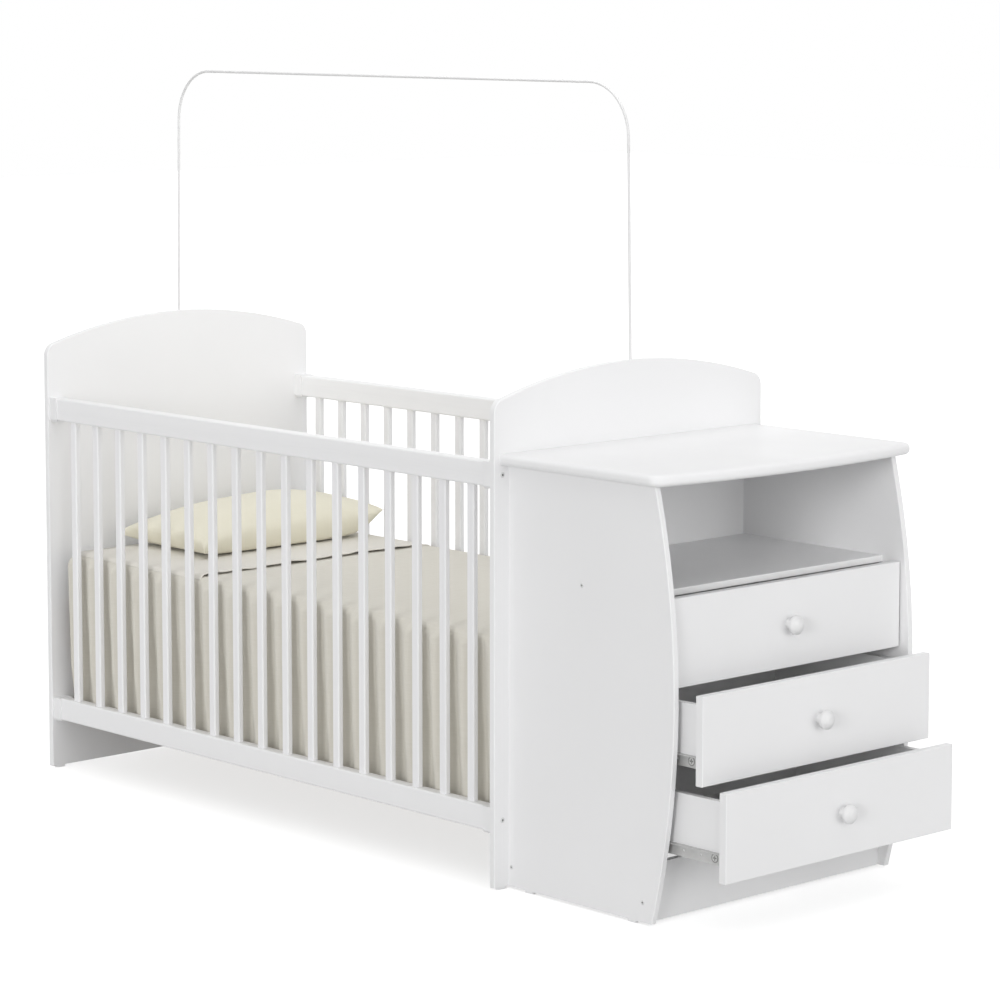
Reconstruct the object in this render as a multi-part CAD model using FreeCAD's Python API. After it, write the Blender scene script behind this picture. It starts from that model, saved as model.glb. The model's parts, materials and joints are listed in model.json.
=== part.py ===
import FreeCAD
import Part
import math
import os

# A crib with a built-in dresser. Lengths are in millimetres, +Z is up and the floor is at zero.
# +X runs from the headboard to the drawers, and the origin is the middle of the footprint
# with the drawers drawn out as they stand at rest.

V = FreeCAD.Vector
along_x = V(1, 0, 0)
along_y = V(0, 1, 0)
along_z = V(0, 0, 1)

# Shared clearances
fit_gap = 0.1                  # between a fixed piece and the hole or groove that takes it
soft_gap = 0.3                 # between bedding and what it lies on
cut_overrun = 2.0              # how far a cutter reaches past the face it opens
bevel_limit_share = 0.33       # widest bevel or round, as a share of the board it is on
nose_limit_share = 0.45        # widest nose on the changing top, as a share of its thickness
straightness = 0.001           # how near to a direction an edge has to run

# End panels: headboard and footboard
inner_length = 1320.0          # clear length between the end panels
panel_width = 676.0
panel_thickness = 13.0
shoulder_height = 861.0        # straight sides, measured from the panel's bottom edge
arch_rise = 53.0               # from the shoulders to the crown of the arch
shoulder_radius = 25.0
panel_edge_bevel = 1.2

# Floor glides
glide_height = 4.5
glide_length = 22.0
glide_width = 10.0
glide_corner_bevel = 3.0
panel_glide_inset = 22.0       # from a panel's side edge to the glide's middle
dresser_glide_inset = 50.0     # from either end of a dresser side's bottom edge

# Slatted sides
rail_height = 45.0
rail_thickness = 25.0
rail_inset = 7.0               # from the end panel's side edge to the rail's outer face
rail_edge_round = 4.0
top_rail_low = 712.0
bottom_rail_low = 98.0
slat_count = 17
slat_width = 18.0
slat_thickness = 12.0
slat_edge_bevel = 2.0
mortise_depth = 10.0

# Sockets that take the rail ends, open at the top
socket_plate = 3.0
socket_wall = 3.0
socket_reach = 22.0
socket_corner_bevel = 5.0

# Bolts through the end panels into the rail ends
bolt_radius = 4.0
bolt_length = 60.0

# Bed base
base_top = 330.0               # top of the laths
lath_count = 12
lath_width = 58.0
lath_thickness = 10.0
lath_end_gap = 60.0            # from the end panels' side edges to the laths' ends
stringer_height = 40.0
stringer_width = 20.0
stringer_inset = 43.0          # from the laths' ends to a stringer's middle
stringer_end_gap = 2.0
ledger_height = 40.0
ledger_thickness = 18.0
ledger_inset = 8.0             # from the laths' ends to the ledger's end

# Mattress
mattress_end_gap = 10.0        # from the end panels
mattress_side_gap = 18.5       # from the slats
mattress_height = 108.0
mattress_edge_bevel = 6.0

# Bedspread: a flat top with a folded skirt hanging down each long side
cloth_thickness = 2.5
spread_head_gap = 30.0         # from the headboard to the bedspread
spread_foot_gap = 30.0         # from the footboard to the bedspread
skirt_gap = 2.0                # between the widest ridge and the slats
skirt_fold_reach = 6.6         # of the widest ridge, from the line of folds
hem_height = 118.0
hem_draw_in = 7.0              # how much further in the skirt hangs at its hem
fold_width_shares = (1.0, 0.92, 1.06, 0.96, 1.08, 0.94, 1.02, 0.97, 1.05,
                     0.92, 1.04, 1.0, 0.95, 1.07, 0.96, 1.04, 0.98)
ridge_share = 0.52             # part of a fold's width that stands out

# Sheet folded back over the bedspread
folded_sheet_reach = 448.0     # from the headboard to its far edge
folded_sheet_head_gap = 40.0
folded_sheet_inset = 8.0       # from the mattress's long edges
folded_sheet_thickness = 4.0
folded_sheet_bevel = 1.2

# Pillow
pillow_side_gap = 60.0         # from the mattress's long edges to the ends of a pillow lying in the middle
pillow_back_share = 0.97       # part of that gap by which it lies nearer the back slats
pillow_width = 272.0           # along the bed
pillow_height = 104.0
pillow_seam_height = 22.0
pillow_end_draw_in = 9.0       # how far the short edges pull in between the corners
pillow_head_gap = 28.0         # from the headboard
pillow_flat_share = 0.72       # part of the underside that lies flat
pillow_belly_share = 0.55      # how far the underside's arcs swell towards the seam

# Net arch
arch_rod_radius = 2.5
arch_height = 1410.0           # middle of the top run, from the panels' bottom edges
arch_bend_radius = 100.0
arch_lean = 1.0                # degrees, inwards
arch_plug_depth = 40.0

# Dresser carcass
dresser_inset = 34.0           # from the end panel's side edge to the dresser's side
dresser_side_thickness = 12.0
dresser_side_height = 751.5
side_foot_reach = 356.0        # bottom edge of a side, from the footboard
side_belly_reach = 407.0       # front edge at its fullest, from the footboard
side_head_reach = 360.0        # top edge of a side, from the footboard
side_belly_height = 400.0
side_edge_bevel = 1.2
top_overhang = 23.0            # past the dresser's sides
top_thickness = 20.0
top_corner_reach = 385.0       # front corners, from the footboard
top_bow = 29.0                 # how far the middle of the front edge stands out
top_corner_radius = 30.0
top_edge_round = 8.8
shelf_low = 555.0
shelf_thickness = 12.0
shelf_setback = 45.0           # behind the closed drawer faces
shelf_edge_bevel = 1.0
kick_height = 100.5
kick_thickness = 12.0
kick_setback = 15.0            # behind the front ends of the sides' bottom edges
stretcher_thickness = 15.0
bracket_leg = 18.0
bracket_height = 12.0
bracket_sheet = 2.0
bracket_drop = 5.0             # below the changing top
dowel_radius = 4.0
dowel_length = 28.0
dowel_rise = 11.0              # above the side's top edge
dowel_inset = 60.0             # from the ends of a side's top edge
side_screw_radius = 4.0
side_screw_length = 45.0
side_screw_height = 35.0       # of the screws into kick plate and stretcher
shelf_screw_share = 0.54       # place of the screws into the shelf, along its depth

# Drawers
drawer_count = 3
drawer_openings = (0.0, 72.5, 128.0)   # drawn out at rest, from the top drawer down
dresser_reach = 387.0          # closed drawer faces, from the footboard
front_inset = 15.0             # from the dresser side's outer face to the front's edge
front_height = 153.4
front_thickness = 15.5
front_gap = 2.0                # between one front and the next
lowest_front_low = 96.8
front_edge_bevel = 1.0
box_back_gap = 21.5            # behind a closed drawer's box
runner_gap = 12.5              # between drawer box and dresser side
drawer_side_thickness = 12.0
drawer_side_height = 107.0
drawer_side_lift = 28.3        # from the front's lower edge to the drawer side's
drawer_back_drop = 12.0
drawer_bottom_thickness = 3.0
drawer_bottom_lift = 9.0
groove_depth = 5.0

# Knob, turned about its own axis
knob_projection = 28.0
knob_radius = 17.0
knob_rim_low = 14.0            # from the drawer front to the cap's rim
knob_rim_high = 19.0
knob_neck_radius = 7.5
knob_neck_reach = 6.0
knob_foot_radius = 10.0
knob_crown_steps = 3           # turned flats that make the crown

# Roller runners: a channel on the dresser's side and a flanged strip under the drawer's side
sheet = 1.2
strip_height = 20.0
strip_lip = 9.0
strip_foot = 10.0
strip_front_gap = 2.0
roller_gap = 0.3               # between a roller and what runs on it
lip_gap = 0.5                  # between the drawer's lip and the channel's upper flange
channel_lower_flange = 9.0
channel_upper_flange = 4.5
channel_drop = 0.7             # channel's underside below the drawer side's lower edge
channel_back_gap = 12.0
channel_front_gap = 4.0        # behind a closed drawer front
roller_width = 7.0
roller_end_gap = 0.5
rivet_radius = 2.5
rivet_gap = 0.05
rivet_head_radius = 4.2
rivet_head_height = 1.2
roller_inset = 11.0            # from the end of its strip or channel
upper_flange_cut = 24.0        # clears the front roller
strip_hole_radius = 2.2
strip_hole_shares = (0.86, 0.745)

# Places worked out from the sizes above
rest_length = 2 * panel_thickness + inner_length + dresser_reach + max(drawer_openings) + knob_projection
head_face = panel_thickness - rest_length / 2
foot_face = head_face + inner_length
dresser_back = foot_face + panel_thickness
front_face = dresser_back + dresser_reach
dresser_width = panel_width - 2 * dresser_inset
top_width = dresser_width + 2 * top_overhang
front_width = dresser_width - 2 * front_inset
box_depth = dresser_reach - front_thickness - box_back_gap
shelf_reach = dresser_reach - shelf_setback
kick_reach = side_foot_reach - kick_setback
rail_middle = panel_width / 2 - rail_inset - rail_thickness / 2
carcass_half = dresser_width / 2 - dresser_side_thickness
box_half = carcass_half - runner_gap
front_pitch = front_height + front_gap
lath_length = panel_width - 2 * lath_end_gap
ledger_length = lath_length - 2 * ledger_inset
mattress_length = inner_length - 2 * mattress_end_gap
mattress_width = 2 * rail_middle - slat_thickness - 2 * mattress_side_gap
folded_sheet_width = mattress_width - 2 * folded_sheet_inset
pillow_length = mattress_width - 2 * pillow_side_gap
mattress_low = base_top + soft_gap
mattress_top = mattress_low + mattress_height
spread_top = mattress_top + soft_gap + cloth_thickness
sheet_top = spread_top + soft_gap + folded_sheet_thickness
skirt_line = rail_middle - slat_thickness / 2 - skirt_gap - skirt_fold_reach
roller_radius = (strip_height - 2 * sheet - lip_gap - sheet + channel_drop - 2 * roller_gap) / 2
front_roller_lift = strip_height - sheet - roller_gap - roller_radius
rear_roller_lift = sheet - channel_drop + roller_gap + roller_radius


def up(height):
    # Heights are given from the panels' bottom edges, which stand on the glides.
    return glide_height + height


def block(x_low, x_high, y_low, y_high, z_low, z_high):
    return Part.makeBox(x_high - x_low, y_high - y_low, z_high - z_low, V(x_low, y_low, z_low))


def prism(curves, way):
    wire = Part.Wire([curve.toShape() for curve in curves])
    return Part.Face(wire).extrude(way)


def runs(edge, way):
    if edge.Curve.TypeId != "Part::GeomLine":
        return False
    return abs(abs(edge.tangentAt(edge.FirstParameter).dot(way)) - 1) < straightness


def at_height(edge, height):
    near = edge.BoundBox
    return max(abs(near.ZMin - height), abs(near.ZMax - height)) < fit_gap


def at_length(edge, length):
    near = edge.BoundBox
    return max(abs(near.XMin - length), abs(near.XMax - length)) < fit_gap


def rounded(shape, radius, wanted):
    return shape.makeFillet(radius, [edge for edge in shape.Edges if wanted(edge)])


def chamfered(shape, size, wanted):
    return shape.makeChamfer(size, [edge for edge in shape.Edges if wanted(edge)])


def drilled(shape, cutters):
    return shape.cut(Part.makeCompound(cutters))


def pin(start, way, radius, length, slack):
    # Flush with the face it starts from. With slack it is the hole for the pin.
    if not slack:
        return Part.makeCylinder(radius, length, start, way)
    return Part.makeCylinder(radius + slack, length + slack + cut_overrun, start - way * cut_overrun, way)


def rail_bolts(slack=0.0):
    bolts = []
    for face, way in ((head_face - panel_thickness, along_x), (dresser_back, -along_x)):
        for side in (-1, 1):
            for low in (top_rail_low, bottom_rail_low):
                start = V(face, side * rail_middle, up(low + rail_height / 2))
                bolts.append(pin(start, way, bolt_radius, bolt_length, slack))
    return bolts


def side_screws(slack=0.0):
    places = (
        (dresser_back + kick_reach - kick_thickness / 2, side_screw_height),
        (dresser_back + stretcher_thickness / 2, side_screw_height),
        (dresser_back + shelf_reach * shelf_screw_share, shelf_low + shelf_thickness / 2),
    )
    screws = []
    for side in (-1, 1):
        for x, height in places:
            start = V(x, side * dresser_width / 2, up(height))
            screws.append(pin(start, along_y * -side, side_screw_radius, side_screw_length, slack))
    return screws


def top_dowels(slack=0.0):
    dowels = []
    low = up(dresser_side_height) - dowel_length + dowel_rise
    for side in (-1, 1):
        for x in (dresser_back + dowel_inset, dresser_back + side_head_reach - dowel_inset):
            start = V(x, side * (carcass_half + dresser_side_thickness / 2), low - slack)
            dowels.append(Part.makeCylinder(dowel_radius + slack, dowel_length + 2 * slack, start))
    return dowels


def tangent_arc(before, corner, after, radius):
    # Start, middle and end of the arc that rounds a corner between two straight runs.
    way_in = (corner - before).normalize()
    way_out = (after - corner).normalize()
    turn = way_in.getAngle(way_out)
    start = corner - way_in * (radius * math.tan(turn / 2))
    end = corner + way_out * (radius * math.tan(turn / 2))
    inward = (way_out - way_in).normalize()
    centre = corner + inward * (radius / math.cos(turn / 2))
    return start, centre - inward * radius, end


def arch_points():
    # Foot and top corner of each leg. The legs cross the panels' crowns at mid-thickness.
    crown = up(shoulder_height + arch_rise)
    slope = math.tan(math.radians(arch_lean))
    points = []
    for middle, side in ((head_face - panel_thickness / 2, 1), (foot_face + panel_thickness / 2, -1)):
        foot = V(middle - side * slope * arch_plug_depth, 0, crown - arch_plug_depth)
        corner = V(middle + side * slope * (up(arch_height) - crown), 0, up(arch_height))
        points.append((foot, corner))
    return points


def net_arch():
    (foot, corner), (far_foot, far_corner) = arch_points()
    bend = tangent_arc(foot, corner, far_corner, arch_bend_radius)
    far_bend = tangent_arc(corner, far_corner, far_foot, arch_bend_radius)
    path = [
        Part.LineSegment(foot, bend[0]),
        Part.Arc(*bend),
        Part.LineSegment(bend[2], far_bend[0]),
        Part.Arc(*far_bend),
        Part.LineSegment(far_bend[2], far_foot),
    ]
    wire = Part.Wire([run.toShape() for run in path])
    ring = Part.Wire([Part.Circle(foot, bend[0] - foot, arch_rod_radius).toShape()])
    return wire.makePipeShell([ring], True, False)


def arch_holes():
    holes = []
    for foot, corner in arch_points():
        start = foot - (corner - foot).normalize() * fit_gap
        depth = arch_plug_depth + cut_overrun
        holes.append(Part.makeCylinder(arch_rod_radius + fit_gap, depth, start, corner - foot))
    return holes


def end_panel(x_low):
    half = panel_width / 2
    left_foot = V(x_low, -half, up(0))
    right_foot = V(x_low, half, up(0))
    left_shoulder = V(x_low, -half, up(shoulder_height))
    right_shoulder = V(x_low, half, up(shoulder_height))
    crown = V(x_low, 0, up(shoulder_height + arch_rise))
    outline = [
        Part.LineSegment(left_foot, right_foot),
        Part.LineSegment(right_foot, right_shoulder),
        Part.Arc(right_shoulder, crown, left_shoulder),
        Part.LineSegment(left_shoulder, left_foot),
    ]
    panel = prism(outline, along_x * panel_thickness)
    panel = rounded(panel, shoulder_radius, lambda e: runs(e, along_x) and not at_height(e, up(0)))
    faces = (x_low, x_low + panel_thickness)
    panel = chamfered(panel, min(panel_edge_bevel, panel_thickness * bevel_limit_share),
                      lambda e: not at_height(e, up(0)) and any(at_length(e, x) for x in faces))
    return drilled(panel, rail_bolts(fit_gap) + arch_holes())


def slat_places():
    gap = (inner_length - slat_count * slat_width) / (slat_count + 1)
    return [head_face + gap + slat_width / 2 + i * (gap + slat_width) for i in range(slat_count)]


def slat(x, side, slack=0.0):
    half_width = slat_width / 2 + slack
    half_thickness = slat_thickness / 2 + slack
    y = side * rail_middle
    low = up(bottom_rail_low + rail_height - mortise_depth)
    high = up(top_rail_low + mortise_depth)
    bar = block(x - half_width, x + half_width, y - half_thickness, y + half_thickness, low, high)
    if slack:
        return bar
    bevel = min(slat_edge_bevel, slat_thickness * bevel_limit_share)
    return chamfered(bar, bevel, lambda e: runs(e, along_z))


def rail(side, rail_low):
    y = side * rail_middle
    bar = block(head_face + socket_plate, foot_face - socket_plate,
                y - rail_thickness / 2, y + rail_thickness / 2, up(rail_low), up(rail_low + rail_height))
    bar = rounded(bar, min(rail_edge_round, rail_thickness * bevel_limit_share), lambda e: runs(e, along_x))
    mortises = [slat(x, side, fit_gap) for x in slat_places()]
    return drilled(bar, mortises + rail_bolts(fit_gap))


def rail_socket(side, rail_low, end):
    face = head_face if end < 0 else foot_face
    tip = face - end * socket_reach
    y = side * rail_middle
    half_seat = rail_thickness / 2 + fit_gap
    half = half_seat + socket_wall
    seat_low = up(rail_low) - fit_gap
    body = block(min(face, tip), max(face, tip), y - half, y + half,
                 seat_low - socket_wall, up(rail_low + rail_height))
    body = chamfered(body, min(socket_corner_bevel, half / 2),
                     lambda e: runs(e, along_x) and at_height(e, seat_low - socket_wall))
    seat_face = face - end * socket_plate
    past_tip = tip - end * cut_overrun
    seat = block(min(seat_face, past_tip), max(seat_face, past_tip), y - half_seat, y + half_seat,
                 seat_low, up(rail_low + rail_height) + cut_overrun)
    return drilled(body, [seat] + rail_bolts(fit_gap))


def rail_sockets():
    return [rail_socket(side, low, end)
            for side in (-1, 1) for low in (top_rail_low, bottom_rail_low) for end in (-1, 1)]


def base_ledgers():
    top = up(base_top - lath_thickness - stringer_height)
    ends = ((head_face, head_face + ledger_thickness), (foot_face - ledger_thickness, foot_face))
    return [block(low, high, -ledger_length / 2, ledger_length / 2, top - ledger_height, top)
            for low, high in ends]


def base_stringers():
    top = up(base_top - lath_thickness)
    pieces = []
    for side in (-1, 1):
        y = side * (lath_length / 2 - stringer_inset)
        pieces.append(block(head_face + stringer_end_gap, foot_face - stringer_end_gap,
                            y - stringer_width / 2, y + stringer_width / 2, top - stringer_height, top))
    return pieces


def base_laths():
    first = head_face + stringer_end_gap
    step = (inner_length - 2 * stringer_end_gap - lath_width) / (lath_count - 1)
    pieces = []
    for i in range(lath_count):
        x = first + i * step
        pieces.append(block(x, x + lath_width, -lath_length / 2, lath_length / 2,
                            up(base_top - lath_thickness), up(base_top)))
    return pieces


def mattress():
    middle = (head_face + foot_face) / 2
    pad = block(middle - mattress_length / 2, middle + mattress_length / 2,
                -mattress_width / 2, mattress_width / 2, up(mattress_low), up(mattress_top))
    return pad.makeChamfer(min(mattress_edge_bevel, mattress_height * bevel_limit_share), pad.Edges)


def fold_stations():
    # Where the folds change from ridge to valley along the bedspread.
    start = head_face + spread_head_gap
    length = inner_length - spread_head_gap - spread_foot_gap
    unit = length / sum(fold_width_shares)
    stations = [start]
    for share in fold_width_shares:
        stations.append(stations[-1] + unit * share * ridge_share)
        stations.append(stations[-1] + unit * share * (1 - ridge_share))
    return stations


def fold_wave(side, line, height):
    # Arcs along the bedspread's edge that stand out and draw in by turns.
    stations = fold_stations()
    widths = [end - start for start, end in zip(stations, stations[1:])]
    curves = []
    for i, width in enumerate(widths):
        start = V(stations[i], side * line, up(height))
        end = V(stations[i + 1], side * line, up(height))
        sag = skirt_fold_reach * width / max(widths) * (1 if i % 2 == 0 else -1)
        curves.append(Part.Arc(start, (start + end) / 2 + V(0, side * sag, 0), end))
    return curves


def wave_ends(side, line, height):
    stations = fold_stations()
    return V(stations[0], side * line, up(height)), V(stations[-1], side * line, up(height))


def bedspread_skirt(side):
    # One cloth thickness deep, hanging from under the top and drawn in towards the hem.
    top = spread_top - cloth_thickness
    outer, inner = skirt_line + cloth_thickness / 2, skirt_line - cloth_thickness / 2
    outer_ends, inner_ends = wave_ends(side, outer, top), wave_ends(side, inner, top)
    outline = [Part.LineSegment(inner_ends[0], outer_ends[0])] + fold_wave(side, outer, top)
    outline += [Part.LineSegment(outer_ends[1], inner_ends[1])] + fold_wave(side, inner, top)
    drop = V(0, -side * hem_draw_in, hem_height - top)
    return Part.Face(Part.Wire(Part.sortEdges([c.toShape() for c in outline])[0])).extrude(drop)


def bedspread():
    line = skirt_line + cloth_thickness / 2
    top = spread_top - cloth_thickness
    left_ends, right_ends = wave_ends(-1, line, top), wave_ends(1, line, top)
    outline = fold_wave(-1, line, top) + [Part.LineSegment(left_ends[1], right_ends[1])]
    outline += fold_wave(1, line, top) + [Part.LineSegment(right_ends[0], left_ends[0])]
    wire = Part.Wire(Part.sortEdges([c.toShape() for c in outline])[0])
    flat = Part.Face(wire).extrude(along_z * cloth_thickness)
    return flat.fuse([bedspread_skirt(-1), bedspread_skirt(1)]).removeSplitter()


def folded_sheet():
    low = up(spread_top + soft_gap)
    cloth = block(head_face + folded_sheet_head_gap, head_face + folded_sheet_reach,
                  -folded_sheet_width / 2, folded_sheet_width / 2, low, low + folded_sheet_thickness)
    return chamfered(cloth, min(folded_sheet_bevel, folded_sheet_thickness * bevel_limit_share),
                     lambda e: not runs(e, along_z))


def pillow_profile(half, place):
    # Flat underneath, swelling to the seam on either side and crowned on top.
    flat = half * pillow_flat_share
    belly = flat + (half - flat) * pillow_belly_share
    belly_height = pillow_seam_height * (1 - pillow_belly_share) / 2
    seam, far_seam = place(half, pillow_seam_height), place(-half, pillow_seam_height)
    return [
        Part.LineSegment(place(-flat, 0), place(flat, 0)),
        Part.Arc(place(flat, 0), place(belly, belly_height), seam),
        Part.Arc(seam, place(0, pillow_height), far_seam),
        Part.Arc(far_seam, place(-belly, belly_height), place(-flat, 0)),
    ]


def pillow():
    # The common part of a crowned profile across the pillow and one along it.
    middle = head_face + pillow_head_gap + pillow_width / 2
    shift = pillow_side_gap * pillow_back_share
    low = up(sheet_top + soft_gap)
    half_width, half_length = pillow_width / 2, pillow_length / 2
    across = pillow_profile(half_width, lambda x, z: V(middle + x, shift - half_length, low + z))
    along = pillow_profile(half_length, lambda y, z: V(middle - half_width, shift + y, low + z))
    body = prism(across, along_y * pillow_length).common(prism(along, along_x * pillow_width))
    bow = pillow_width ** 2 / (8 * pillow_end_draw_in)
    ends = []
    for side in (-1, 1):
        centre = V(middle, shift + side * (half_length - pillow_end_draw_in + bow), low)
        ends.append(Part.makeCylinder(bow, pillow_height, centre))
    return drilled(body, ends)


def dresser_side(side):
    y = side * dresser_width / 2
    rear_foot = V(dresser_back, y, up(0))
    front_foot = V(dresser_back + side_foot_reach, y, up(0))
    belly = V(dresser_back + side_belly_reach, y, up(side_belly_height))
    front_head = V(dresser_back + side_head_reach, y, up(dresser_side_height))
    rear_head = V(dresser_back, y, up(dresser_side_height))
    outline = [
        Part.LineSegment(rear_foot, front_foot),
        Part.Arc(front_foot, belly, front_head),
        Part.LineSegment(front_head, rear_head),
        Part.LineSegment(rear_head, rear_foot),
    ]
    board = prism(outline, along_y * (-side * dresser_side_thickness))
    board = chamfered(board, min(side_edge_bevel, dresser_side_thickness * bevel_limit_share),
                      lambda e: e.Curve.TypeId == "Part::GeomCircle")
    return drilled(board, side_screws(fit_gap) + top_dowels(fit_gap))


def changing_top():
    half = top_width / 2
    low = up(dresser_side_height)
    high = low + top_thickness
    corner = dresser_back + top_corner_reach
    left_rear, right_rear = V(dresser_back, -half, low), V(dresser_back, half, low)
    left_front, right_front = V(corner, -half, low), V(corner, half, low)
    outline = [
        Part.LineSegment(left_rear, left_front),
        Part.Arc(left_front, V(corner + top_bow, 0, low), right_front),
        Part.LineSegment(right_front, right_rear),
        Part.LineSegment(right_rear, left_rear),
    ]
    board = prism(outline, along_z * top_thickness)
    board = rounded(board, top_corner_radius, lambda e: runs(e, along_z) and not at_length(e, dresser_back))
    board = rounded(board, min(top_edge_round, top_thickness * nose_limit_share),
                    lambda e: (at_height(e, low) or at_height(e, high)) and not at_length(e, dresser_back))
    return drilled(board, top_dowels(fit_gap))


def between_sides(x_low, x_high, z_low, z_high):
    return block(x_low, x_high, -carcass_half, carcass_half, up(z_low), up(z_high))


def niche_shelf():
    front = dresser_back + shelf_reach
    board = between_sides(dresser_back, front, shelf_low, shelf_low + shelf_thickness)
    board = chamfered(board, min(shelf_edge_bevel, shelf_thickness * bevel_limit_share),
                      lambda e: runs(e, along_y) and at_length(e, front))
    return drilled(board, side_screws(fit_gap))


def kick_plate():
    front = dresser_back + kick_reach
    board = between_sides(front - kick_thickness, front, 0, kick_height)
    return drilled(board, side_screws(fit_gap))


def rear_stretcher():
    board = between_sides(dresser_back, dresser_back + stretcher_thickness, 0, kick_height)
    return drilled(board, side_screws(fit_gap))


def corner_brackets():
    pieces = []
    high = up(dresser_side_height - bracket_drop)
    low = high - bracket_height
    for side in (-1, 1):
        face = side * carcass_half
        inner = face - side * bracket_sheet
        tip = face - side * bracket_leg
        on_side = block(dresser_back, dresser_back + bracket_leg,
                        min(face, inner), max(face, inner), low, high)
        on_panel = block(dresser_back, dresser_back + bracket_sheet,
                         min(face, tip), max(face, tip), low, high)
        pieces.append(on_side.fuse(on_panel).removeSplitter())
    return pieces


def glide(x, y, x_size, y_size):
    pad = block(x - x_size / 2, x + x_size / 2, y - y_size / 2, y + y_size / 2, 0, glide_height)
    return chamfered(pad, glide_corner_bevel, lambda e: runs(e, along_z))


def floor_glides():
    pads = []
    for side in (-1, 1):
        for x in (head_face - panel_thickness / 2, foot_face + panel_thickness / 2):
            y = side * (panel_width / 2 - panel_glide_inset)
            pads.append(glide(x, y, glide_width, glide_length))
        for x in (dresser_back + dresser_glide_inset, dresser_back + side_foot_reach - dresser_glide_inset):
            y = side * (carcass_half + dresser_side_thickness / 2)
            pads.append(glide(x, y, glide_length, glide_width))
    return pads


def front_low(index):
    return lowest_front_low + (drawer_count - 1 - index) * front_pitch


def drawer_edge(index):
    # Lower edge of a drawer's sides, which the runners follow.
    return up(front_low(index) + drawer_side_lift)


def inward(side, start, depth):
    # Two Y values, from the inner face of a dresser side towards the middle, in rising order.
    ends = (side * (carcass_half - start), side * (carcass_half - start - depth))
    return min(ends), max(ends)


def strip(side, x_low, x_high, start, depth, z_low, z_high):
    y_low, y_high = inward(side, start, depth)
    return block(x_low, x_high, y_low, y_high, z_low, z_high)


def rivet(x, z, side, start, way):
    # Pin and head that carry a roller, standing on a web that ends at the given depth.
    foot = V(x, side * (carcass_half - start), z)
    out = along_y * (-side * way)
    reach = roller_width + 2 * roller_end_gap
    pin = Part.makeCylinder(rivet_radius, reach, foot, out)
    head = Part.makeCylinder(rivet_head_radius, rivet_head_height, foot + out * reach, out)
    return pin.fuse(head)


def roller(x, z, side, start, way):
    foot = V(x, side * (carcass_half - start - way * roller_end_gap), z)
    out = along_y * (-side * way)
    wheel = Part.makeCylinder(roller_radius, roller_width, foot, out)
    bore_length = roller_width + 2 * cut_overrun
    bore = Part.makeCylinder(rivet_radius + rivet_gap, bore_length, foot - out * cut_overrun, out)
    return wheel.cut(bore)


def channel_ends():
    return dresser_back + channel_back_gap, front_face - front_thickness - channel_front_gap


def front_roller_place(index):
    return channel_ends()[1] - roller_inset, drawer_edge(index) + front_roller_lift


def cabinet_runner(side, index):
    back, front = channel_ends()
    low = drawer_edge(index) - channel_drop
    high = drawer_edge(index) + strip_height - sheet - lip_gap
    web = strip(side, back, front, 0, sheet, low, high)
    lower = strip(side, back, front, 0, channel_lower_flange, low, low + sheet)
    upper = strip(side, back, front - upper_flange_cut, 0, channel_upper_flange, high - sheet, high)
    pin = rivet(*front_roller_place(index), side, sheet, 1)
    return web.fuse([lower, upper, pin]).removeSplitter()


def cabinet_roller(side, index):
    return roller(*front_roller_place(index), side, sheet, 1)


def strip_ends(index):
    front = front_face + drawer_openings[index] - front_thickness - strip_front_gap
    back = front_face + drawer_openings[index] - front_thickness - box_depth
    return back, front


def rear_roller_place(index):
    return strip_ends(index)[0] + roller_inset, drawer_edge(index) + rear_roller_lift


def drawer_runner(side, index):
    back, front = strip_ends(index)
    edge = drawer_edge(index)
    web_start = runner_gap - sheet
    web = strip(side, back, front, web_start, sheet, edge - sheet, edge + strip_height)
    lip = strip(side, back, front, web_start - strip_lip, strip_lip + sheet,
                edge + strip_height - sheet, edge + strip_height)
    foot = strip(side, back, front, web_start, strip_foot, edge - sheet, edge)
    pin = rivet(*rear_roller_place(index), side, web_start, -1)
    body = web.fuse([lip, foot, pin]).removeSplitter()
    holes = []
    for share in strip_hole_shares:
        x = back + share * (front - back)
        start = V(x, side * (carcass_half - web_start + cut_overrun), edge + strip_height / 2)
        holes.append(Part.makeCylinder(strip_hole_radius, sheet + 2 * cut_overrun, start, along_y * -side))
    return drilled(body, holes)


def drawer_roller(side, index):
    return roller(*rear_roller_place(index), side, runner_gap - sheet, -1)


def drawer_bottom(index, slack=0.0):
    face = front_face + drawer_openings[index] - front_thickness
    half = box_half - drawer_side_thickness + groove_depth - fit_gap + slack
    low = drawer_edge(index) + drawer_bottom_lift
    return block(face - box_depth - (cut_overrun if slack else 0.0), face + groove_depth - fit_gap + slack,
                 -half, half, low - slack, low + drawer_bottom_thickness + slack)


def drawer_front(index):
    face = front_face + drawer_openings[index]
    low = up(front_low(index))
    board = block(face - front_thickness, face, -front_width / 2, front_width / 2, low, low + front_height)
    bevel = min(front_edge_bevel, front_thickness * bevel_limit_share)
    board = chamfered(board, bevel, lambda e: at_length(e, face))
    return drilled(board, [drawer_bottom(index, fit_gap)])


def drawer_side(side, index):
    face = front_face + drawer_openings[index] - front_thickness
    low = drawer_edge(index)
    board = strip(side, face - box_depth, face, runner_gap, drawer_side_thickness,
                  low, low + drawer_side_height)
    return drilled(board, [drawer_bottom(index, fit_gap)])


def drawer_back(index):
    back = front_face + drawer_openings[index] - front_thickness - box_depth
    half = box_half - drawer_side_thickness
    low = drawer_edge(index) + drawer_bottom_lift + drawer_bottom_thickness
    high = drawer_edge(index) + drawer_side_height - drawer_back_drop
    return block(back, back + drawer_side_thickness, -half, half, low, high)


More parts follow.
